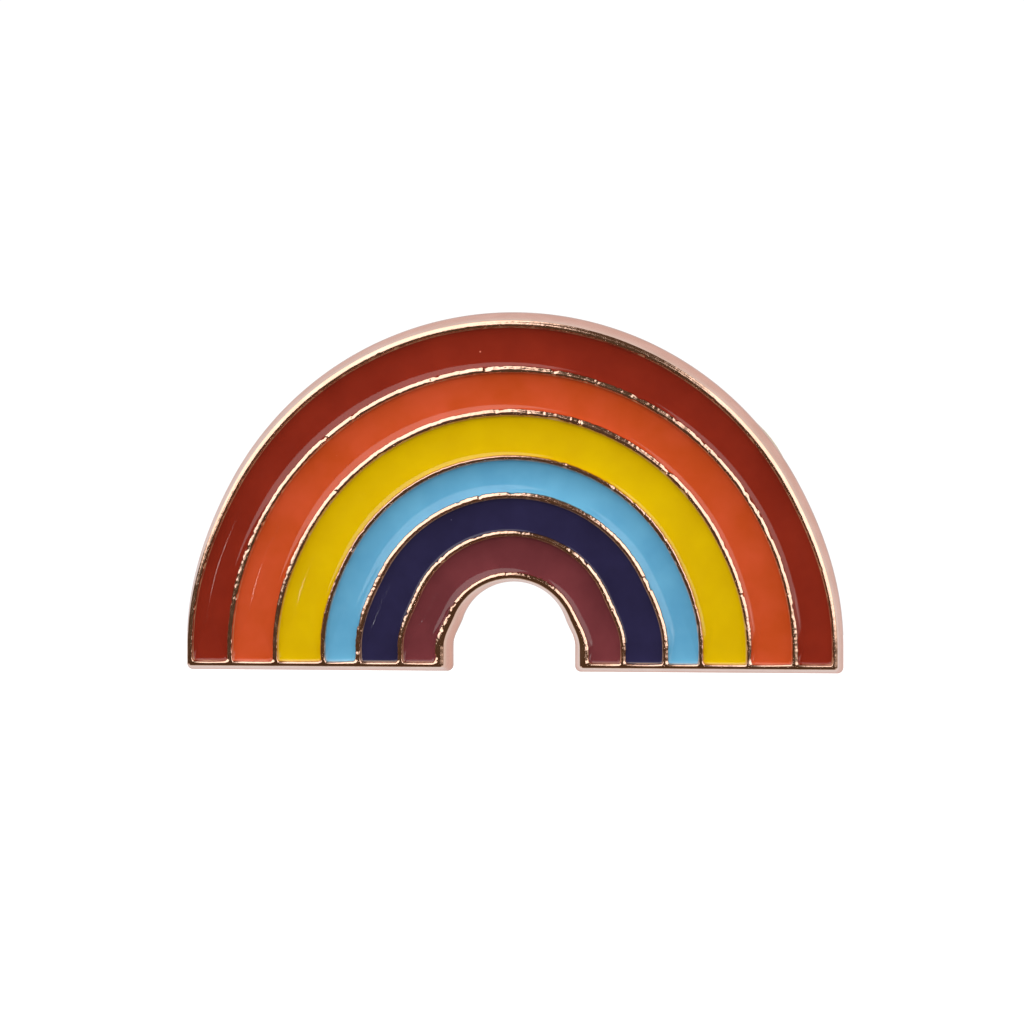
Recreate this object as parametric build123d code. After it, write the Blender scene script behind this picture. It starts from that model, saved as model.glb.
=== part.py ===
from build123d import *
import math
import os

# Soft-enamel lapel pin shaped like a rainbow, worn on two posts with butterfly clutches.
# Units are millimetres. The face looks along -Y, +Z is up and +X is to the wearer's left.
# The origin is on the flat back face, midway between the two posts.

# ---- driving dimensions ---------------------------------------------------------------

# outline of the struck plate: a half ring on short straight feet
BASE_R = 15.0          # outer radius at the back
GAP_R = 2.78           # radius of the gap under the arch at the back
ARCH_RISE = 0.25       # the outer arc is centred this far above the centre of the bands
GAP_RISE = 0.12        # and the gap's arc this far
FOOT_DROP = 1.1        # bottom of the feet below the centre of the bands
FOOT_CORNER_R = 0.45   # rounding of the feet's corners
PLATE_T = 1.8          # back face to the tops of the metal lines
RIM_LAND = 0.35        # straight stretch of the edge beside the back face
FLARE = 0.38           # how much narrower the outline is at the face than at the back
BACK_EDGE_R = 0.18     # rounding of the back edge
LINE_EDGE_R = 0.07     # rounding of the tops of the metal lines

# enamel bands, from the outside in: name, outer and inner radius, rise of each arc's centre
BANDS = [
    ("enamel_red", 14.40, 12.87, 0.17, -0.05),
    ("enamel_orange", 12.61, 10.82, -0.06, 0.06),
    ("enamel_yellow", 10.56, 8.66, 0.02, 0.14),
    ("enamel_light_blue", 8.46, 7.04, 0.14, 0.09),
    ("enamel_navy", 6.77, 5.16, 0.12, 0.22),
    ("enamel_plum", 4.90, 3.41, 0.26, 0.07),
]
BAND_DROP = 0.55       # bottom of the bands below their centre
BAND_CORNER_R = 0.16   # rounding of the four bottom corners of each cell
CELL_DEPTH = 0.75      # cell floor below the tops of the lines
ENAMEL_SINK = 0.22     # enamel surface below the tops of the lines

# posts, brazed on the back where the clutches stay hidden behind the badge
POST_X = 7.05
POST_ABOVE_CENTRE = 5.9
POST_R = 0.55
POST_L = 8.0           # back face to the tip
POST_TIP_L = 0.9
POST_TIP_R = 0.18
POST_PAD_R = 1.25
POST_PAD_TOP = 0.2     # the pad stands this far above the back face
SEAT_R = 1.5           # shallow struck seat that the pad is brazed into
SEAT_DEPTH = 0.15
BRAZE_TOP = 0.1
RING_DEPTH = 0.12      # grip rings cut round the shank
RING_W = 0.22
RING_FIRST = 1.95
RING_PITCH = 1.1
RING_COUNT = 4

# butterfly clutch, measured along the post from the face of its cap
CLUTCH_AT = 2.5        # cap face above the back face, with cloth between them
CAP_R = 5.5
CAP_H = 2.0
SHEET = 0.3            # thickness of all the pressed sheet
CAP_HOLE_R = 0.75
CAP_DISH_R = 2.9       # the middle of the cap is pressed in
CAP_DISH = 0.15
CAP_CORNER_R = 0.7
RIM_INNER_R = 4.55     # edge of the crimped rim
DOT_COUNT = 8          # raised dots that bite the cloth
DOT_RING_R = 3.75
DOT_R = 0.55
DOT_H = 0.22
CLIP_R = 4.95
CLIP_TOP = 1.62
CLIP_SKIRT_FOOT = 0.37
CLIP_HOLE_R = 0.8
HINGE_Z = 1.6          # the wings pivot in slots this far from the post
HINGE_T = 1.45
SLOT_HALF_X = 1.45
SLOT_IN = 1.22
SLOT_OUT = 2.0
LEG_HALF_X = 1.3
BEAD_R = 0.19          # bead across each leg, on which the wing rocks
LIP_T = 0.72           # underside of the gripping lips
LIP_H = 0.26
LIP_EDGE = 0.15        # half the gap between the two lips
NOTCH_R = 0.59
BLADE_T = 2.05         # where the wing starts to bend outwards
BLADE_R = 4.5
BLADE_ANGLE = 54
LOBE_HALF_X = 3.1
LOBE_LOW = 2.45
LOBE_TOP = 5.75
LOBE_CORNER_R = 1.45
SPRING_WIRE_R = 0.2
SPRING_T = 0.85
SPRING_ARM_Z = 2.12
SPRING_HALF_STRAIGHT = 1.1
SPRING_MOUTH = 1.0     # opening of the wire at one end
CLUTCH_TURN = {"left": 24, "right": -38}   # degrees the wings are turned about each post

# ---- derived --------------------------------------------------------------------------

CENTRE_Z = -POST_ABOVE_CENTRE
FACE_Y = -PLATE_T
FLOOR_Y = FACE_Y + CELL_DEPTH
ENAMEL_Y = FACE_Y + ENAMEL_SINK
FLARE_ANGLE = math.degrees(math.atan2(FLARE, PLATE_T - RIM_LAND))
SIDES = {"left": -1, "right": 1}

# sketches are drawn with their x along +X and their y along +Z; they extrude towards the face
FRONTAL = Plane(origin=(0, 0, 0), x_dir=(1, 0, 0), z_dir=(0, -1, 0))


def arch(outer_r, inner_r, outer_rise, inner_rise, drop):
    """Half ring with straight feet, drawn about the centre of the bands."""
    outer_z = CENTRE_Z + outer_rise
    inner_z = CENTRE_Z + inner_rise
    foot_z = CENTRE_Z - drop
    edges = [
        Line((-outer_r, foot_z), (-outer_r, outer_z)),
        ThreePointArc((-outer_r, outer_z), (0, outer_z + outer_r), (outer_r, outer_z)),
        Line((outer_r, outer_z), (outer_r, foot_z)),
        Line((outer_r, foot_z), (inner_r, foot_z)),
        Line((inner_r, foot_z), (inner_r, inner_z)),
        ThreePointArc((inner_r, inner_z), (0, inner_z + inner_r), (-inner_r, inner_z)),
        Line((-inner_r, inner_z), (-inner_r, foot_z)),
        Line((-inner_r, foot_z), (-outer_r, foot_z)),
    ]
    return make_face(edges)


def frontal(sketch, y):
    """Stand a sketch up in the frontal plane at depth y."""
    return Pos(0, y, 0) * (FRONTAL * sketch)


def round_feet(outline, drop, radius):
    """Round the four bottom corners of an arch."""
    foot_z = CENTRE_Z - drop
    corners = [v for v in outline.vertices() if abs(v.Y - foot_z) < 1e-6]
    return fillet(corners, radius)


def band_sketch(band):
    """Outline of one enamel cell."""
    return round_feet(arch(*band[1:], BAND_DROP), BAND_DROP, BAND_CORNER_R)


def turned(points):
    """Solid of revolution about the Y axis from (radius, y) points."""
    return revolve(make_face(Polyline(*points, close=True)), Axis.Y)


def badge_plate():
    """Die-struck plate: flared edge, six sunk cells and two seats for the posts."""
    outline = arch(BASE_R, GAP_R, ARCH_RISE, GAP_RISE, FOOT_DROP)
    outline = round_feet(outline, FOOT_DROP, FOOT_CORNER_R)
    land = extrude(frontal(outline, 0), RIM_LAND)
    land = fillet(land.faces().sort_by(Axis.Y)[-1].edges(), BACK_EDGE_R)
    flared = extrude(frontal(outline, -RIM_LAND), PLATE_T - RIM_LAND, taper=FLARE_ANGLE)
    plate = land + flared
    for band in BANDS:
        plate -= extrude(frontal(band_sketch(band), FLOOR_Y), CELL_DEPTH)
    face = plate.faces().sort_by(Axis.Y)[0]
    plate = fillet(face.edges(), LINE_EDGE_R)
    for side in SIDES.values():
        seat = turned([(0, -SEAT_DEPTH), (SEAT_R, -SEAT_DEPTH), (SEAT_R, SEAT_DEPTH), (0, SEAT_DEPTH)])
        plate -= Pos(side * POST_X, 0, 0) * seat
    return plate


def enamel(band):
    """Cured enamel that fills its cell to just below the metal lines."""
    return extrude(frontal(band_sketch(band), FLOOR_Y), CELL_DEPTH - ENAMEL_SINK)


def post():
    """Pin post: brazing pad, plain shank, grip rings and a tapered tip."""
    points = [(0, -SEAT_DEPTH), (POST_PAD_R, -SEAT_DEPTH), (POST_PAD_R, POST_PAD_TOP)]
    points.append((POST_R, POST_PAD_TOP))
    for ring in range(RING_COUNT):
        start = RING_FIRST + ring * RING_PITCH
        points.append((POST_R, start))
        points.append((POST_R - RING_DEPTH, start + RING_W / 3))
        points.append((POST_R - RING_DEPTH, start + RING_W * 2 / 3))
        points.append((POST_R, start + RING_W))
    points.append((POST_R, POST_L - POST_TIP_L))
    points.append((POST_TIP_R, POST_L))
    points.append((0, POST_L))
    return turned(points)


def braze_fillet():
    """Ring of braze between the pad and the wall of its seat."""
    return turned([
        (POST_PAD_R, -SEAT_DEPTH),
        (SEAT_R, -SEAT_DEPTH),
        (SEAT_R, 0),
        (POST_PAD_R, BRAZE_TOP),
    ])


def clutch_cap():
    """Drawn cap: dished middle with the post hole, round corner, crimped rim and raised dots."""
    outer = [(CAP_HOLE_R, CAP_DISH), (CAP_DISH_R - CAP_DISH, CAP_DISH), (CAP_DISH_R, 0)]
    outer += [(CAP_R, 0), (CAP_R, CAP_H), (RIM_INNER_R, CAP_H)]
    inner = [(RIM_INNER_R, CAP_H - SHEET), (CAP_R - SHEET, CAP_H - SHEET), (CAP_R - SHEET, SHEET)]
    inner += [(CAP_DISH_R, SHEET), (CAP_DISH_R - CAP_DISH, CAP_DISH + SHEET), (CAP_HOLE_R, CAP_DISH + SHEET)]
    section = make_face(Polyline(*outer, *inner, close=True))
    corners = section.vertices()
    outside = [v for v in corners if abs(v.X - CAP_R) < 1e-6 and abs(v.Y) < 1e-6]
    section = fillet(outside, CAP_CORNER_R)
    inside = [v for v in section.vertices() if abs(v.X - CAP_R + SHEET) < 1e-6 and abs(v.Y - SHEET) < 1e-6]
    section = fillet(inside, CAP_CORNER_R - SHEET)
    rim = [v for v in section.vertices() if abs(v.X - CAP_R) < 1e-6 and abs(v.Y - CAP_H) < 1e-6]
    section = fillet(rim, SHEET * 0.9)
    cap = revolve(section, Axis.Y)
    ball_r = (DOT_R**2 + DOT_H**2) / (2 * DOT_H)
    half_space = Pos(0, -DOT_H / 2, 0) * Box(2 * CAP_R, DOT_H, 2 * CAP_R)
    for i in range(DOT_COUNT):
        ball = Pos(DOT_RING_R, ball_r - DOT_H, 0) * Sphere(ball_r)
        cap += Rot(0, 360 * i / DOT_COUNT, 0) * (ball & half_space)
    return cap


def clip_plate():
    """Pressed plate under the crimped rim, with a skirt, a guide hole and two slots for the wings."""
    plate = turned([
        (CLIP_HOLE_R, CLIP_TOP - SHEET),
        (CLIP_R - SHEET, CLIP_TOP - SHEET),
        (CLIP_R - SHEET, CLIP_SKIRT_FOOT),
        (CLIP_R, CLIP_SKIRT_FOOT),
        (CLIP_R, CLIP_TOP),
        (CLIP_HOLE_R, CLIP_TOP),
    ])
    for side in SIDES.values():
        slot = Box(2 * SLOT_HALF_X, 2 * SHEET, SLOT_OUT - SLOT_IN)
        plate -= Pos(0, CLIP_TOP - SHEET / 2, side * (SLOT_IN + SLOT_OUT) / 2) * slot
    return plate


def wing():
    """One wing: a lip that grips the post, a leg with a bead in its slot and an outward-curving lobe."""
    leg_in = HINGE_Z - SHEET / 2
    leg_out = HINGE_Z + SHEET / 2
    lip = Pos(0, LIP_T + LIP_H / 2, (LIP_EDGE + leg_out) / 2) * Box(
        2 * LEG_HALF_X, LIP_H, leg_out - LIP_EDGE)
    notch = Pos(0, LIP_T + LIP_H / 2, 0) * (Rot(90, 0, 0) * Cylinder(NOTCH_R, 2 * LIP_H))
    leg = Pos(0, (LIP_T + BLADE_T) / 2, HINGE_Z) * Box(2 * LEG_HALF_X, BLADE_T - LIP_T, SHEET)
    bead = Pos(0, HINGE_T, HINGE_Z) * (Rot(0, 90, 0) * Cylinder(BEAD_R, 2 * LEG_HALF_X))
    # the blade is a sector of a ring about an axis along X, beyond the wing
    axis_z = leg_out + BLADE_R - SHEET
    ring = Rot(0, 90, 0) * (Cylinder(BLADE_R, 2 * LOBE_HALF_X) - Cylinder(BLADE_R - SHEET, 3 * LOBE_HALF_X))
    ring = Pos(0, BLADE_T, axis_z) * ring
    reach = 2 * BLADE_R
    wedge = [
        (axis_z, BLADE_T),
        (axis_z - reach, BLADE_T),
        (axis_z - reach, BLADE_T + reach),
        (axis_z - reach * math.cos(math.radians(BLADE_ANGLE)),
         BLADE_T + reach * math.sin(math.radians(BLADE_ANGLE))),
    ]
    wedge_plane = Plane(origin=(-reach, 0, 0), x_dir=(0, 0, 1), z_dir=(-1, 0, 0))
    sector = extrude(wedge_plane * make_face(Polyline(*wedge, close=True)), -2 * reach)
    blade = ring & sector
    lobe_plane = Plane(origin=(0, 0, 0), x_dir=(1, 0, 0), z_dir=(0, 0, 1))
    lobe = Pos(0, (LOBE_LOW + LOBE_TOP) / 2) * RectangleRounded(
        2 * LOBE_HALF_X, LOBE_TOP - LOBE_LOW, LOBE_CORNER_R)
    neck = Pos(0, (BLADE_T + LOBE_LOW) / 2) * Rectangle(2 * LEG_HALF_X, LOBE_LOW - BLADE_T + SHEET)
    outline = extrude(lobe_plane * (lobe + neck), reach)
    return (lip + leg + bead - notch) + (blade & outline)


def spring():
    """Open loop of wire round the legs of the wings."""
    bend = revolve(
        Pos(SPRING_ARM_Z, SPRING_T) * Circle(SPRING_WIRE_R), Axis.Y, 180)
    arm = Rot(0, 90, 0) * Cylinder(SPRING_WIRE_R, 2 * SPRING_HALF_STRAIGHT)
    loop = None
    for side in (-1, 1):
        half = Pos(side * SPRING_HALF_STRAIGHT, 0, 0) * (Rot(0, side * 90 - 180, 0) * bend)
        loop = half if loop is None else loop + half
        loop += Pos(0, SPRING_T, side * SPRING_ARM_Z) * arm
    mouth = Box(2 * SPRING_ARM_Z, 2 * CAP_H, SPRING_MOUTH)
    return loop - Pos(SPRING_HALF_STRAIGHT + 1.5 * SPRING_ARM_Z, 0, 0) * mouth


def clutch(side):
    """The pieces of one clutch, turned about its post and set at its resting place."""
    place = Pos(SIDES[side] * POST_X, CLUTCH_AT, 0) * Rot(0, CLUTCH_TURN[side], 0)
    pieces = {
        "cap": clutch_cap(),
        "clip_plate": clip_plate(),
        "spring": spring(),
        "wing_a": wing(),
        "wing_b": Rot(0, 180, 0) * wing(),
    }
    return {f"{side}_clutch_{name}": place * piece for name, piece in pieces.items()}


def build():
    """All pieces by node name."""
    nodes = {"badge_plate": badge_plate()}
    for band in BANDS:
        nodes[band[0]] = enamel(band)
    for side, sign in SIDES.items():
        nodes[f"{side}_post"] = Pos(sign * POST_X, 0, 0) * post()
        nodes[f"{side}_post_braze"] = Pos(sign * POST_X, 0, 0) * braze_fillet()
        nodes.update(clutch(side))
    return nodes


os.makedirs("parts", exist_ok=True)
for node, solid in build().items():
    if isinstance(solid, ShapeList):
        solid = Compound(children=list(solid))
    solids = solid.solids()
    print(node, len(solids), "solid(s)", round(sum(s.volume for s in solids), 3), "mm3")
    export_step(solids[0] if len(solids) == 1 else Compound(children=list(solids)), f"parts/{node}.step")
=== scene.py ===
import math

import bmesh
import bpy
import numpy as np
from mathutils import Matrix, Vector


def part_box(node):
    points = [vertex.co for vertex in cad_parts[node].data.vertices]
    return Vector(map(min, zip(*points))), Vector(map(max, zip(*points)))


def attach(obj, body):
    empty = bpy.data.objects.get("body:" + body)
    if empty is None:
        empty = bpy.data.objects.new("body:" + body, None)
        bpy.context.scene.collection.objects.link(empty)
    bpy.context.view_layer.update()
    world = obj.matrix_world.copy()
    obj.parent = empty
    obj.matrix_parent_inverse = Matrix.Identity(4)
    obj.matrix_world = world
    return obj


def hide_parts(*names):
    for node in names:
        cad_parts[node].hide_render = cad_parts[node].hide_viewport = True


# Soft-enamel rainbow pin: the struck plate and its six enamel fills are built here as fine meshes;
# the posts and clutches are the frame's own solids. Shapes are in millimetres until the mesh is made.

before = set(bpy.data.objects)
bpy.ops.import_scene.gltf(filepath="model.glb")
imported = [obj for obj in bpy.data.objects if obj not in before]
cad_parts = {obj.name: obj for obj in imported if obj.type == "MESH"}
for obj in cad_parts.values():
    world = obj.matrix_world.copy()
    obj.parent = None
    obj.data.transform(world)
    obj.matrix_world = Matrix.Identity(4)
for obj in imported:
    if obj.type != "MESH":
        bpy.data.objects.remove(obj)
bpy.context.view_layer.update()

MM = 0.001

# ---- sizes ----------------------------------------------------------------------------

plate_lo, plate_hi = [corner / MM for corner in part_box("badge_plate")]
PLATE_T = -plate_lo.y
BASE_R = (plate_hi.x - plate_lo.x) / 2
FOOT_Z = plate_lo.z
FOOT_DROP = 1.1
CENTRE_Z = FOOT_Z + FOOT_DROP            # centre of the colour bands

# arcs from the outside in: radius, rise at the top, and splay at the feet
RIM_ARC = (14.40, 0.47, 0.32)
BANDS = [
    ("enamel_red", (14.17, 0.40, 0.33), (12.86, -0.05, 0.07)),
    ("enamel_orange", (12.62, -0.09, 0.06), (10.68, 0.20, 0.18)),
    ("enamel_yellow", (10.43, 0.15, 0.19), (8.46, 0.35, 0.23)),
    ("enamel_light_blue", (8.23, 0.35, 0.23), (6.78, 0.35, 0.31)),
    ("enamel_navy", (6.53, 0.34, 0.32), (4.78, 0.60, 0.39)),
    ("enamel_plum", (4.52, 0.64, 0.43), (3.18, 0.32, 0.30)),
]
GAP_ARC = (2.81, 0.40, 0.27)
BASE_ARC = (14.66, 0.52, 0.26)           # outline of the back
BASE_GAP_ARC = (2.42, 0.56, 0.34)
SPLAY_END = 0.5                          # sine of the angle where the splay has faded out
CLIMB_EASE = 0.1                         # the rise starts this gently, so legs and arc meet smoothly
BAND_FOOT_Z = CENTRE_Z - 0.59
FRONT_FOOT_Z = CENTRE_Z - 0.82
FRONT_CORNER_R = 0.14                    # round corners of the face, the back and each cell
BASE_CORNER_R = 0.28
BAND_CORNER_R = 0.14
CELL_DEPTH = 0.75
FLOOR_Y = -PLATE_T + CELL_DEPTH
ENAMEL_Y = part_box("enamel_red")[0].y / MM
SAG = {                                  # how far each enamel sinks in the middle of its band
    "enamel_red": 0.10,
    "enamel_orange": 0.11,
    "enamel_yellow": 0.09,
    "enamel_light_blue": 0.15,
    "enamel_navy": 0.05,
    "enamel_plum": 0.11,
}

LINE_H = 0.075                           # height of a line's rounded top
OUTER_FLANK = 0.15                       # a line falls gently to its outer side
INNER_FLANK = 0.045                      # has a flat top, and falls steeply to its inner side
FOOT_FLANK = 0.10
STEEP_LINE = {"enamel_yellow": 0.07}     # but the line inside this band is steep on both sides
GAP_FLANK = 0.17
SIDE_POWERS = (2.6, 1.6, 1.8)            # curve of the flanks at a cell's outer side, inner side and foot
WALL_STEP = 0.05                         # run of a cell's wall, from the line down to the floor
TUCK = 0.05                              # enamel runs this far in under the metal
MENISCUS = (0.055, 0.02, 0.04)           # climb at a band's outer edge, inner edge and foot
MENISCUS_L = 0.08                        # distance over which that climb dies away
SINK_RATES = (1, 1, 0.3)                 # how fast enamel sinks from each of those sides

ROW_STEP = 0.055                         # fineness of the plate's mesh, and of the enamel's
NARROWEST = 0.006
ENAMEL_ROW_STEP = 0.10
ENAMEL_COLUMNS = 45
POST_X = 7.05
SEAT_R = 1.5                             # shallow round seats in the back, for the posts' pads
SEAT_DEPTH = 0.15
SEAT_POINTS = 72

# edge of the plate from the face to the back: share of the way to the back outline, and depth
EDGE_PROFILE = [
    (0.03, -1.63), (0.08, -1.55), (0.17, -1.42), (0.29, -1.24), (0.43, -1.04), (0.58, -0.84),
    (0.73, -0.66), (0.87, -0.50), (0.96, -0.38), (1.0, -0.28), (1.0, -0.18), (0.96, -0.12),
    (0.88, -0.065), (0.76, -0.025), (0.62, -0.006), (0.48, 0.0),
]


# ---- repeatable noise -----------------------------------------------------------------

def lattice(cell, seed):
    """Repeatable values from -1 to 1 at whole-number points, one row of cell each."""
    h = cell[:, 0] * 73856093 ^ cell[:, 1] * 19349663 ^ cell[:, 2] * 83492791 ^ seed * 40503
    h = (h ^ (h >> 13)) * 1274126177 & 0x7FFFFFFF
    h = (h ^ (h >> 15)) * 668265263 & 0x7FFFFFFF
    return (h >> 7 & 0xFFFF) / 32767.5 - 1


def noise(points, scale, seed):
    """Smooth value noise from -1 to 1, with features about scale wide."""
    q = points.reshape(-1, 3) / scale
    base = np.floor(q).astype(np.int64)
    f = q - base
    f = f * f * (3 - 2 * f)
    total = np.zeros(len(q))
    for corner in np.ndindex(2, 2, 2):
        weight = np.prod(np.where(np.array(corner) == 1, f, 1 - f), axis=1)
        total += weight * lattice(base + np.array(corner), seed)
    return total.reshape(points.shape[:-1])


# ---- the arch as a grid ---------------------------------------------------------------

BAND_ARCS = [arc for _, outer, inner in BANDS[::-1] for arc in (inner, outer)]
RINGS = np.array([GAP_ARC] + BAND_ARCS + [RIM_ARC])


def arch_grid(radii, rises, splays, leg_zs, arc_rows):
    """X and Z of a grid over the arch: up the left leg, round the arc and down the right leg."""
    leg_x = np.tile(radii + splays, (len(leg_zs), 1))
    leg_z = np.tile(np.array(leg_zs)[:, None], (1, len(radii)))
    turn = np.linspace(0, math.pi, arc_rows)[:, None]
    lift = np.sin(turn)
    fade = np.clip(1 - lift / SPLAY_END, 0, 1)
    climb = (1 + CLIMB_EASE) * lift * lift / (lift + CLIMB_EASE)
    reach = radii + rises * climb + splays * fade * fade * (3 - 2 * fade)
    arc_x = -reach * np.cos(turn)
    arc_z = CENTRE_Z + reach * lift
    x = np.vstack([-leg_x, arc_x, leg_x[::-1]])
    z = np.vstack([leg_z, arc_z, leg_z[::-1]])
    return x, z


def face_grid(radii, leg_zs, arc_rows):
    """Grid over the face, following the rings of metal and enamel."""
    rises = np.interp(radii, RINGS[:, 0], RINGS[:, 1])
    splays = np.interp(radii, RINGS[:, 0], RINGS[:, 2])
    return arch_grid(radii, rises, splays, leg_zs, arc_rows)


def cell_sides(radii, z, band):
    """Distances beyond a cell's outer side, inner side and foot, each above 0 outside it."""
    _, outer, inner = band
    shape = z.shape
    beyond = np.broadcast_to(radii - outer[0], shape)
    inside = np.broadcast_to(inner[0] - radii, shape)
    return np.stack([beyond, inside, BAND_FOOT_Z - z])


def cell_distance(sides):
    """Signed distance in the face from a cell's edge, above 0 on the metal."""
    qx = np.maximum(sides[0], sides[1]) + BAND_CORNER_R
    qy = sides[2] + BAND_CORNER_R
    outside = np.hypot(np.maximum(qx, 0), np.maximum(qy, 0))
    return outside + np.minimum(np.maximum(qx, qy), 0) - BAND_CORNER_R


def by_side(sides, values):
    """One value for each point, blended from the values for a cell's three sides."""
    weight = np.exp((sides - sides.max(axis=0)) / 0.03)
    return np.tensordot(values, weight, 1) / weight.sum(axis=0)


def round_over(distance, width, height, power):
    """Drop of a rounded shoulder, from height at its edge to 0 at width inside it."""
    return height * np.clip(1 - distance / width, 0, 1) ** power


def spread(*groups):
    """Sorted grid positions with near-repeats dropped."""
    values = np.unique(np.round(np.concatenate(groups), 5))
    keep = np.insert(np.diff(values) > NARROWEST, 0, True)
    return values[keep]


def quads(rows, cols):
    """Faces of a grid of rows by cols points."""
    i = np.arange(rows - 1)[:, None] * cols + np.arange(cols - 1)
    i = i.ravel()
    return np.column_stack([i, i + 1, i + 1 + cols, i + cols]).tolist()


def strip(first, second):
    """Faces between two closed loops of vertex numbers."""
    n = len(first)
    return [(first[k], first[(k + 1) % n], second[(k + 1) % n], second[k]) for k in range(n)]


def make_object(name, points, faces, materials, flat=()):
    """Mesh object from points in millimetres; flat lists faces that stay flat-shaded."""
    mesh = bpy.data.meshes.new(name)
    mesh.from_pydata((np.asarray(points) * MM).tolist(), [], faces)
    for material in materials:
        mesh.materials.append(material)
    mesh.polygons.foreach_set("use_smooth", [True] * len(mesh.polygons))
    for k in flat:
        mesh.polygons[k].use_smooth = False
    obj = bpy.data.objects.new(name, mesh)
    bpy.context.scene.collection.objects.link(obj)
    return obj


def outward(mesh):
    """Turn every face of a closed mesh outwards."""
    bm = bmesh.new()
    bm.from_mesh(mesh)
    bmesh.ops.recalc_face_normals(bm, faces=bm.faces)
    bm.to_mesh(mesh)
    bm.free()


# ---- the struck plate -----------------------------------------------------------------

def plate_columns():
    """Radii of the grid's columns: close together over each line's flanks."""
    flank = np.array([-0.07, -0.05, -0.025, -0.005, 0.012, 0.03, 0.05, 0.07, 0.095, 0.12, 0.15, 0.18])
    groups = []
    for _, outer, inner in BANDS:
        groups.append(outer[0] + flank[:8])
        groups.append(inner[0] - flank)
        groups.append(np.linspace(inner[0], outer[0], 5)[1:-1])
    edge = np.array([0, 0.006, 0.018, 0.036, 0.06, 0.09, 0.13, 0.17])
    groups.append(RIM_ARC[0] - edge)
    groups.append(GAP_ARC[0] + edge)
    radii = spread(*groups)
    return radii[(radii >= GAP_ARC[0]) & (radii <= RIM_ARC[0])][::-1]


def leg_rows():
    """Heights of the rows up a leg: close together over the bottom border."""
    border = np.array([0, 0.006, 0.018, 0.036, 0.06, 0.09, 0.12, 0.15])
    flank = np.array([-0.11, -0.085, -0.06, -0.04, -0.02, 0, 0.02, 0.045, 0.075, 0.12, 0.17])
    rest = np.arange(BAND_FOOT_Z + 0.22, CENTRE_Z - 0.02, ROW_STEP)
    return spread(FRONT_FOOT_Z + border, BAND_FOOT_Z + flank, rest)


def round_corners(x, z, sides, foot_z, corner_r):
    """Pull the grid's four bottom corners in to a round corner."""
    to_outer, to_gap = sides
    a = np.broadcast_to(np.minimum(to_outer, to_gap), z.shape)
    qa = corner_r - a
    qb = corner_r - (z - foot_z)
    near = (qa > 0) & (qb > 0)
    length = np.where(near, np.hypot(qa, qb), 1)
    squash = np.where(near, np.maximum(qa, qb) / length, 1)
    inward = np.where(to_outer < to_gap, -np.sign(x), np.sign(x))
    return x + inward * np.where(near, qa * (1 - squash), 0), z + np.where(near, qb * (1 - squash), 0)


def ragged(place):
    """Small wander of the metal's edges, with a chip here and there."""
    chip = np.clip(noise(place, 0.24, 4) - 0.5, 0, 1) * 0.12
    slow = 0.008 * noise(place, 0.35, 1) + 0.012 * noise(place, 1.6, 3)
    return slow + 0.009 * noise(place, 0.12, 2) + 0.004 * noise(place, 0.07, 8) - chip


def worn(place):
    """Depth worn off the tops of the metal, above 0 nearly everywhere."""
    broad = 0.008 + 0.006 * noise(place, 0.9, 5)
    fine = 0.002 * noise(place, 0.16, 6) + 0.0015 * noise(place, 0.08, 7)
    return np.clip(broad + fine, 0, 1)


def plate_face():
    """Front surface of the plate: rounded metal lines standing over sunk cells."""
    radii = plate_columns()
    arc_rows = int(math.pi * BASE_R / ROW_STEP)
    legs = leg_rows()
    x, z = face_grid(radii, legs, arc_rows)
    sides = (RIM_ARC[0] - radii, radii - GAP_ARC[0])
    level = z
    x, z = round_corners(x, z, sides, FRONT_FOOT_Z, FRONT_CORNER_R)
    place = np.stack([x, np.zeros_like(x), z], axis=-1)
    wander = ragged(place)

    drop = np.zeros_like(z)
    for band in BANDS:
        cell = cell_sides(radii, level, band)
        on_metal = cell_distance(cell) + wander
        width = by_side(cell, [INNER_FLANK, STEEP_LINE.get(band[0], OUTER_FLANK), FOOT_FLANK])
        power = by_side(cell, SIDE_POWERS)
        wall = np.clip(-on_metal / WALL_STEP, 0, 1)
        drop = np.maximum(drop, round_over(on_metal, width, LINE_H, power) + (CELL_DEPTH - LINE_H) * wall)
    drop += worn(place)
    drop += round_over(np.broadcast_to(sides[0], z.shape), OUTER_FLANK, LINE_H, SIDE_POWERS[1])
    drop += round_over(np.broadcast_to(sides[1], z.shape), GAP_FLANK, LINE_H * 1.2, 1.7)
    drop += round_over(level - FRONT_FOOT_Z, FOOT_FLANK, LINE_H * 0.8, 2.0)
    face = np.stack([x, -PLATE_T + np.minimum(drop, CELL_DEPTH), z], axis=-1)

    share = (radii - GAP_ARC[0]) / (RIM_ARC[0] - GAP_ARC[0])
    base = [gap + share * (rim - gap) for gap, rim in zip(BASE_GAP_ARC, BASE_ARC)]
    stretch = (CENTRE_Z - FOOT_Z) / (CENTRE_Z - FRONT_FOOT_Z)
    base_legs = [CENTRE_Z - (CENTRE_Z - level_z) * stretch for level_z in legs]
    bx, bz = arch_grid(*base, base_legs, arc_rows)
    base_sides = (BASE_ARC[0] - base[0], base[0] - BASE_GAP_ARC[0])
    bx, bz = round_corners(bx, bz, base_sides, FOOT_Z, BASE_CORNER_R)
    return face, np.stack([bx, np.zeros_like(bx), bz], axis=-1)


def boundary_loop(rows, cols):
    """Vertex numbers round the grid, clockwise as seen from the front."""
    over = [i * cols for i in range(rows)]
    right_foot = [(rows - 1) * cols + j for j in range(1, cols)]
    under = [i * cols + cols - 1 for i in range(rows - 2, -1, -1)]
    left_foot = [j for j in range(cols - 2, 0, -1)]
    return over + right_foot + under + left_foot


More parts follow.
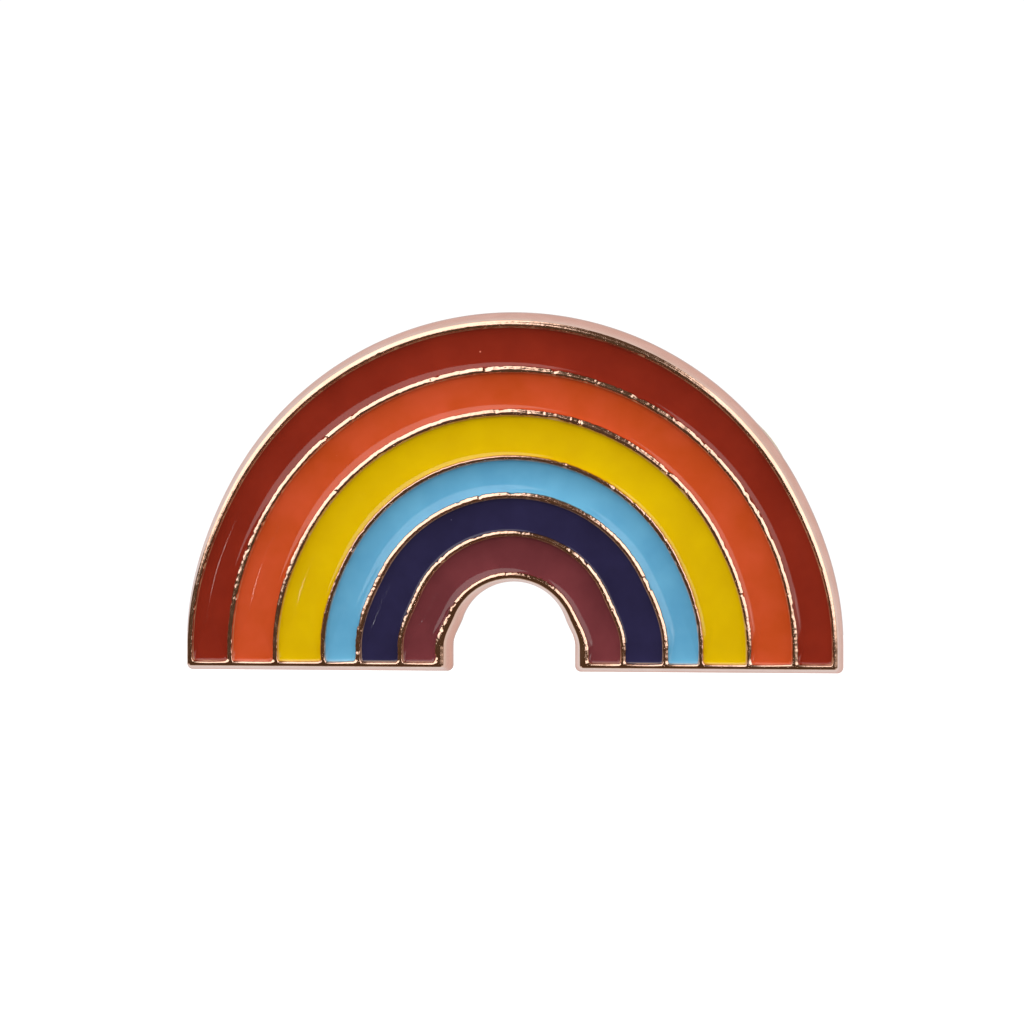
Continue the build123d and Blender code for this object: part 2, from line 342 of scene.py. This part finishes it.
def seat_circle(centre_x, depth):
    """Points round a post's seat."""
    turn = np.linspace(0, 2 * math.pi, SEAT_POINTS, endpoint=False)
    x = centre_x + SEAT_R * np.cos(turn)
    return np.column_stack([x, np.full(SEAT_POINTS, depth), SEAT_R * np.sin(turn)])


def badge_plate(face_material, back_material):
    """The whole struck plate, closed: face, flared edge, flat back and two seats for the posts."""
    grid, base_grid = plate_face()
    rows, cols, _ = grid.shape
    points = grid.reshape(-1, 3)
    faces = quads(rows, cols)
    loop = boundary_loop(rows, cols)
    rim = points[loop]
    base = base_grid.reshape(-1, 3)[loop]
    all_points = [points]
    count = len(points)
    last = loop
    for share, depth in EDGE_PROFILE:
        ripple = 0.03 * noise(rim + (0, depth, 0), 0.7, 11) * (share < 0.9)
        ring = rim + (base - rim) * (share + ripple)[:, None]
        ring[:, 1] = depth
        numbers = list(range(count, count + len(ring)))
        faces += strip(last, numbers)
        all_points.append(ring)
        count += len(ring)
        last = numbers
    seats = []
    for side in (-1, 1):
        top = seat_circle(side * POST_X, 0)
        bottom = seat_circle(side * POST_X, -SEAT_DEPTH)
        top_numbers = list(range(count, count + len(top)))
        bottom_numbers = list(range(count + len(top), count + 2 * len(top)))
        faces += strip(top_numbers, bottom_numbers)
        faces.append(tuple(bottom_numbers))
        all_points += [top, bottom]
        count += 2 * len(top)
        seats.append(top_numbers)
    plate = make_object("struck_plate", np.vstack(all_points), faces, [face_material, back_material])

    bm = bmesh.new()
    bm.from_mesh(plate.data)
    bm.verts.ensure_lookup_table()
    edges = []
    for ring in [last] + seats:
        for a, b in zip(ring, ring[1:] + ring[:1]):
            edges.append(bm.edges.get((bm.verts[a], bm.verts[b])))
    filled = bmesh.ops.triangle_fill(bm, edges=edges, use_beauty=True, use_dissolve=False)
    for item in filled["geom"]:
        if isinstance(item, bmesh.types.BMFace):
            item.material_index = 1
            item.smooth = False
    bmesh.ops.recalc_face_normals(bm, faces=bm.faces)
    bm.to_mesh(plate.data)
    bm.free()
    return plate


# ---- enamel ---------------------------------------------------------------------------

def enamel_fill(band, seed, material):
    """One cell's enamel: sagging surface that climbs the metal at its edge, closed below."""
    name, outer, inner = band
    half = (outer[0] - inner[0]) / 2
    ease = np.sin(np.linspace(-1, 1, ENAMEL_COLUMNS) * math.pi / 2)
    radii = ((outer[0] + inner[0]) / 2 + ease * (half + TUCK))[::-1]
    near_foot = BAND_FOOT_Z - TUCK + np.cumsum(np.linspace(0, 0.05, 16))
    legs = spread(near_foot, np.arange(near_foot[-1] + 0.07, CENTRE_Z - 0.02, 0.08))
    legs = legs[legs < CENTRE_Z - 0.01]
    x, z = face_grid(radii, legs, int(math.pi * outer[0] / ENAMEL_ROW_STEP))
    cell = cell_sides(radii, z, band)
    climb = by_side(cell, MENISCUS) * np.exp(np.minimum(cell_distance(cell), 0) / MENISCUS_L)
    rates = np.array(SINK_RATES)[:, None, None]
    inside = np.clip(-cell_distance(cell * rates), 0, half)
    place = np.stack([x, np.zeros_like(x), z], axis=-1)
    swell = 0.004 * noise(place, 2.6, seed) + 0.0008 * noise(place, 0.7, seed + 1)
    y = ENAMEL_Y + SAG[name] * (1 - (1 - inside / half) ** 2) - climb + swell
    top = np.stack([x, y, z], axis=-1)
    under = np.stack([x[:, [-1, 0]], np.full((len(x), 2), FLOOR_Y), z[:, [-1, 0]]], axis=-1)
    section = np.concatenate([top, under], axis=1)
    rows, cols, _ = section.shape
    faces = quads(rows, cols)
    for i in range(rows - 1):
        a = i * cols
        b = a + cols
        faces.append((a + cols - 1, a, b, b + cols - 1))
    faces.append(tuple(range(cols)))
    faces.append(tuple(range((rows - 1) * cols, rows * cols)))
    fill = make_object(name.replace("enamel_", "fill_"), section.reshape(-1, 3), faces, [material],
                       flat=(len(faces) - 1, len(faces) - 2))
    outward(fill.data)
    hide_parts(name)
    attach(fill, "badge")
    return fill


# ---- materials ------------------------------------------------------------------------

FACE_PAINTED_TINT_END_Y = -1.66                # the face's painted reflection tint starts to give way here
THIN_ENAMEL_Y = -1.645                   # metal shows through where the enamel climbs this high
FULL_ENAMEL_Y = -1.60


def srgb(r, g, b):
    """Linear colour from 0 to 255 display values."""
    return tuple(((v / 255 + 0.055) / 1.055) ** 2.4 if v > 10 else v / 3295 for v in (r, g, b)) + (1,)


class Nodes:
    """Short way to build a material's node tree."""

    def __init__(self, name):
        self.material = bpy.data.materials.new(name)
        self.material.use_nodes = True
        self.tree = self.material.node_tree
        self.shader = self.tree.nodes["Principled BSDF"]
        self.coords = self.add("ShaderNodeTexCoord").outputs["Object"]

    def add(self, kind, **values):
        node = self.tree.nodes.new(kind)
        for key, value in values.items():
            setattr(node, key, value)
        return node

    def link(self, a, b):
        self.tree.links.new(a, b)

    def noise(self, size_mm, detail=3.0, roughness=0.55, stretch=None):
        """Noise texture whose features are about size_mm across."""
        node = self.add("ShaderNodeTexNoise")
        node.inputs["Scale"].default_value = 1 / (size_mm * MM)
        node.inputs["Detail"].default_value = detail
        node.inputs["Roughness"].default_value = roughness
        coords = self.coords
        if stretch:
            mapping = self.add("ShaderNodeMapping")
            mapping.inputs["Scale"].default_value = stretch
            self.link(coords, mapping.inputs["Vector"])
            coords = mapping.outputs["Vector"]
        self.link(coords, node.inputs["Vector"])
        return node.outputs["Fac"]

    def ramp(self, factor, *stops):
        """Colour ramp over (position, colour) stops."""
        node = self.add("ShaderNodeValToRGB")
        ramp = node.color_ramp
        while len(ramp.elements) < len(stops):
            ramp.elements.new(0.5)
        for element, (position, colour) in zip(ramp.elements, stops):
            element.position = position
            element.color = colour
        self.link(factor, node.inputs["Fac"])
        return node.outputs["Color"]

    def rescale(self, value, low, high, from_low=0.0, from_high=1.0):
        """Map a value from one range to another."""
        node = self.add("ShaderNodeMapRange")
        node.inputs["From Min"].default_value = from_low
        node.inputs["From Max"].default_value = from_high
        node.inputs["To Min"].default_value = low
        node.inputs["To Max"].default_value = high
        self.link(value, node.inputs["Value"])
        return node.outputs["Result"]

    def mix(self, factor, a, b, blend="MIX"):
        """Mix two colours, each a socket or a fixed colour."""
        node = self.add("ShaderNodeMix", data_type="RGBA", blend_type=blend)
        for socket, value in ((node.inputs[0], factor), (node.inputs[6], a), (node.inputs[7], b)):
            if hasattr(value, "links"):
                self.link(value, socket)
            else:
                socket.default_value = value
        return node.outputs[2]

    def bump(self, height, depth_mm, normal=None):
        """Bump from a height, depth_mm from its lowest to its highest."""
        node = self.add("ShaderNodeBump")
        node.inputs["Distance"].default_value = depth_mm * MM
        self.link(height, node.inputs["Height"])
        if normal is not None:
            self.link(normal, node.inputs["Normal"])
        return node.outputs["Normal"]

    def set(self, **values):
        """Fixed values on the shader's own sockets."""
        for key, value in values.items():
            self.shader.inputs[key.replace("_", " ")].default_value = value
        return self

    def feed(self, name, socket):
        self.link(socket, self.shader.inputs[name])
        return self


def plated_metal(name, front, side, edge, rough_low, rough_high, pit_mm):
    """Polished plating with painted reflection and shade: its colour shifts from face to side to back
    edge, with scuffs and pits.
    """
    n = Nodes(name).set(Metallic=1.0)
    depth = n.add("ShaderNodeSeparateXYZ")
    n.link(n.coords, depth.inputs[0])
    # painted reflection and shade by depth: the lighter face tone, then the pinker side tone, then the
    # darker back edge
    toward_back = n.rescale(depth.outputs["Y"], 0, 1, FACE_PAINTED_TINT_END_Y * MM, 0)
    tone = n.ramp(toward_back, (0.0, front), (0.3, side), (0.62, side), (0.82, edge))
    blotch = n.noise(1.1, 4)
    warm = n.ramp(blotch, (0.35, (0.90, 0.86, 0.82, 1)), (0.65, (1, 1, 1, 1)))
    n.feed("Base Color", n.mix(1.0, tone, warm, "MULTIPLY"))
    n.feed("Roughness", n.rescale(n.noise(0.45, 4), rough_low, rough_high, 0.3, 0.7))
    rough = n.bump(n.noise(0.05, 2), 0.0015)
    n.feed("Normal", n.bump(n.noise(pit_mm, 3), 0.005, normal=rough))
    return n.material


def blasted_back(name, colour):
    """Back of the plate: matte plating over a finely blasted surface."""
    n = Nodes(name).set(Metallic=1.0)
    blotch = n.ramp(n.noise(2.5, 4), (0.3, (0.86, 0.84, 0.82, 1)), (0.7, (1, 1, 1, 1)))
    n.feed("Base Color", n.mix(1.0, colour, blotch, "MULTIPLY"))
    n.feed("Roughness", n.rescale(n.noise(0.6, 3), 0.34, 0.5, 0.3, 0.7))
    n.feed("Normal", n.bump(n.noise(0.12, 3), 0.02))
    return n.material


def enamel_material(name, colour, deep, fleck):
    """Glossy cured enamel: slight colour clouding, faint orange peel and a few specks."""
    n = Nodes(name).set(IOR=1.5)
    cloud = n.rescale(n.noise(2.2, 3), 0, 1, 0.35, 0.68)
    pool = n.mix(cloud, deep, colour)
    height = n.add("ShaderNodeSeparateXYZ")
    n.link(n.coords, height.inputs[0])
    thin = n.rescale(height.outputs["Y"], 1, 0, THIN_ENAMEL_Y * MM, FULL_ENAMEL_Y * MM)
    base = n.mix(thin, pool, srgb(196, 158, 122))
    dots = n.add("ShaderNodeTexVoronoi")
    dots.inputs["Scale"].default_value = 1 / (1.3 * MM)
    n.link(n.coords, dots.inputs["Vector"])
    speck = n.rescale(dots.outputs["Distance"], 1, 0, 0.02, 0.035)
    rare = n.rescale(dots.outputs["Color"], 0, 1, 0.80, 0.84)
    both = n.add("ShaderNodeMath", operation="MULTIPLY")
    n.link(speck, both.inputs[0])
    n.link(rare, both.inputs[1])
    n.feed("Base Color", n.mix(both.outputs[0], base, fleck))
    n.feed("Roughness", n.rescale(n.noise(0.8, 3), 0.025, 0.06, 0.3, 0.7))
    n.feed("Normal", n.bump(n.noise(0.5, 2), 0.0008))
    return n.material


def clutch_metal(name, colour, dark, rough_low, rough_high):
    """Pressed brass: brushed, with darker scuffs and soft wear."""
    n = Nodes(name).set(Metallic=1.0)
    wear = n.rescale(n.noise(0.9, 5, 0.65), 0, 1, 0.30, 0.62)
    n.feed("Base Color", n.mix(wear, dark, colour))
    n.feed("Roughness", n.rescale(n.noise(0.4, 4), rough_low, rough_high, 0.3, 0.7))
    grain = n.bump(n.noise(0.12, 4, stretch=(1, 0.15, 1)), 0.004)
    n.feed("Normal", n.bump(n.noise(0.9, 2), 0.01, normal=grain))
    return n.material


ENAMEL_COLOURS = {
    "enamel_red": (srgb(140, 42, 26), srgb(128, 36, 22), srgb(225, 130, 110)),
    "enamel_orange": (srgb(205, 82, 46), srgb(192, 74, 30), srgb(240, 160, 130)),
    "enamel_yellow": (srgb(222, 186, 0), srgb(214, 176, 0), srgb(245, 225, 120)),
    "enamel_light_blue": (srgb(104, 177, 216), srgb(92, 164, 206), srgb(225, 240, 250)),
    "enamel_navy": (srgb(42, 40, 76), srgb(36, 34, 66), srgb(130, 125, 160)),
    "enamel_plum": (srgb(120, 56, 62), srgb(106, 48, 54), srgb(215, 160, 160)),
}

# Rose-gold plating tones with painted reflection and shade: lighter and more golden on the face, pinker
# on the side, darker towards the back edge.
ROSE_FACE_WITH_PAINTED_REFLECTION = srgb(243, 203, 182)
ROSE_SIDE_WITH_PAINTED_REFLECTION = srgb(238, 180, 161)
ROSE_EDGE_WITH_PAINTED_SHADE = srgb(214, 168, 156)
POST_ROSE = srgb(232, 190, 160)

face_metal = plated_metal("rose_gold_plating", ROSE_FACE_WITH_PAINTED_REFLECTION, ROSE_SIDE_WITH_PAINTED_REFLECTION, ROSE_EDGE_WITH_PAINTED_SHADE, 0.10, 0.20, 0.35)
back_metal = blasted_back("blasted_rose_gold", srgb(222, 172, 150))
post_metal = plated_metal("plated_post", POST_ROSE, POST_ROSE, POST_ROSE, 0.16, 0.28, 0.3)
braze_metal = blasted_back("braze", srgb(205, 165, 130))
clutch_brass = clutch_metal("clutch_brass", srgb(226, 190, 120), srgb(211, 172, 102), 0.16, 0.30)
wing_brass = clutch_metal("wing_brass", srgb(230, 195, 126), srgb(216, 178, 108), 0.14, 0.26)
wire_steel = clutch_metal("spring_wire", srgb(200, 200, 205), srgb(170, 170, 175), 0.2, 0.35)

plate = badge_plate(face_metal, back_metal)
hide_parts("badge_plate")
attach(plate, "badge")

for index, band in enumerate(BANDS):
    enamel_fill(band, 20 + 3 * index, enamel_material(band[0], *ENAMEL_COLOURS[band[0]]))

NODE_METALS = {
    "post": post_metal,
    "post_braze": braze_metal,
    "clutch_cap": clutch_brass,
    "clutch_clip_plate": clutch_brass,
    "clutch_wing_a": wing_brass,
    "clutch_wing_b": wing_brass,
    "clutch_spring": wire_steel,
}
for side in ("left", "right"):
    for name, metal in NODE_METALS.items():
        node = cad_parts[f"{side}_{name}"]
        for slot in node.material_slots:
            slot.material = metal


# ---- floor, light and camera ----------------------------------------------------------

def direction(tilt, turn):
    """Unit vector tilt degrees off -Y, turned that many degrees from +X towards +Z."""
    t, a = math.radians(tilt), math.radians(turn)
    return Vector((math.sin(t) * math.cos(a), -math.cos(t), math.sin(t) * math.sin(a)))


def area_light(name, tilt, turn, distance, width, height, watts, colour):
    """Soft light facing the pin; its width runs across the tilt and its height along it."""
    light = bpy.data.lights.new(name, "AREA")
    light.shape = "RECTANGLE"
    light.size = width * MM
    light.size_y = height * MM
    light.energy = watts
    light.color = colour
    obj = bpy.data.objects.new(name, light)
    where = direction(tilt, turn)
    obj.location = where * distance * MM
    outward_axis = (direction(tilt + 1, turn) - where).normalized()
    across = outward_axis.cross(where).normalized()
    turned = np.array([across, outward_axis, where]).T
    obj.rotation_mode = "QUATERNION"
    obj.rotation_quaternion = Matrix(turned.tolist()).to_quaternion()
    bpy.context.scene.collection.objects.link(obj)
    return obj


def world_light():
    """White behind the pin, dim in front of it, so that the metal's dark sides stay dark."""
    world = bpy.data.worlds.new("studio")
    bpy.context.scene.world = world
    world.use_nodes = True
    tree = world.node_tree
    tree.nodes.clear()
    coords = tree.nodes.new("ShaderNodeTexCoord")
    split = tree.nodes.new("ShaderNodeSeparateXYZ")
    ramp = tree.nodes.new("ShaderNodeValToRGB")
    ramp.color_ramp.elements[0].position = 0.44
    ramp.color_ramp.elements[0].color = (0.08, 0.05, 0.027, 1)
    ramp.color_ramp.elements[1].position = 0.58
    ramp.color_ramp.elements[1].color = (0.78, 0.76, 0.75, 1)
    shift = tree.nodes.new("ShaderNodeMapRange")
    shift.inputs["From Min"].default_value = -1
    shift.inputs["From Max"].default_value = 1
    glow = tree.nodes.new("ShaderNodeBackground")
    seen = tree.nodes.new("ShaderNodeBackground")
    seen.inputs["Color"].default_value = (1, 1, 1, 1)
    seen.inputs["Strength"].default_value = 1.05
    rays = tree.nodes.new("ShaderNodeLightPath")
    either = tree.nodes.new("ShaderNodeMixShader")
    out = tree.nodes.new("ShaderNodeOutputWorld")
    link = tree.links.new
    link(coords.outputs["Generated"], split.inputs[0])
    link(split.outputs["Y"], shift.inputs["Value"])
    link(shift.outputs["Result"], ramp.inputs["Fac"])
    link(ramp.outputs["Color"], glow.inputs["Color"])
    link(rays.outputs["Is Camera Ray"], either.inputs[0])
    link(glow.outputs[0], either.inputs[1])
    link(seen.outputs[0], either.inputs[2])
    link(either.outputs[0], out.inputs["Surface"])


def floor():
    """Large pale floor well below the pin."""
    size, level = 900, -75
    corners = [(-size, -size, level), (size, -size, level), (size, size, level), (-size, size, level)]
    n = Nodes("pale_floor").set(Roughness=0.9, Specular_IOR_Level=0.1, Emission_Strength=0.9)
    n.set(Emission_Color=(1, 1, 1, 1))
    dull, bright = (0.90, 0.90, 0.90, 1), (0.93, 0.93, 0.93, 1)
    n.feed("Base Color", n.ramp(n.noise(40, 2), (0.3, dull), (0.7, bright)))
    slab = make_object("floor", corners, [(0, 1, 2, 3)], [n.material])
    slab.visible_glossy = False
    slab.visible_diffuse = False


def camera():
    """Long lens, a little to the right of the pin and a little above it."""
    data = bpy.data.cameras.new("camera")
    data.lens = 300
    data.sensor_width = 36
    cam = bpy.data.objects.new("camera", data)
    azimuth, elevation = math.radians(4.9), math.radians(3.6)
    level = math.cos(elevation)
    back = Vector((math.sin(azimuth) * level, -math.cos(azimuth) * level, math.sin(elevation)))
    target = Vector((-0.048, -0.9, 0.275)) * MM
    distance = 385.5 * MM
    cam.location = target + back * distance
    cam.rotation_mode = "QUATERNION"
    cam.rotation_quaternion = (-back).to_track_quat("-Z", "Y")
    data.clip_start = 0.01
    data.clip_end = 10
    bpy.context.scene.collection.objects.link(cam)
    bpy.context.scene.camera = cam


world_light()
floor()
# name, tilt and turn in degrees, distance, width and height in millimetres, watts, colour
WARM = (1, 0.98, 0.95)
WARMER = (1, 0.96, 0.92)
LIGHTS = [
    ("upper_left_near", 33, 129, 500, 395, 194, 0.44, WARM),
    ("upper_left_far", 62, 129, 500, 710, 325, 1.32, WARM),
    ("right_near", 33, 29, 500, 270, 194, 0.280, WARM),
    ("right_far", 62, 29, 500, 440, 325, 0.762, WARM),
    ("right_low_near", 33, -1, 500, 38, 194, 0.020, WARMER),
    ("right_low_far", 62, -1, 500, 62, 325, 0.054, WARMER),
    ("small_lamp", 6.5, -91.8, 600, 6, 6, 0.0014, (1, 1, 1)),
]
for light in LIGHTS:
    area_light(*light)
fill = area_light("front_fill", 12, 100, 500, 420, 420, 1.30, (1, 0.99, 0.97))
fill.visible_glossy = False              # lights the enamel but isn't mirrored in it
camera()
bpy.context.scene.view_settings.view_transform = "Standard"
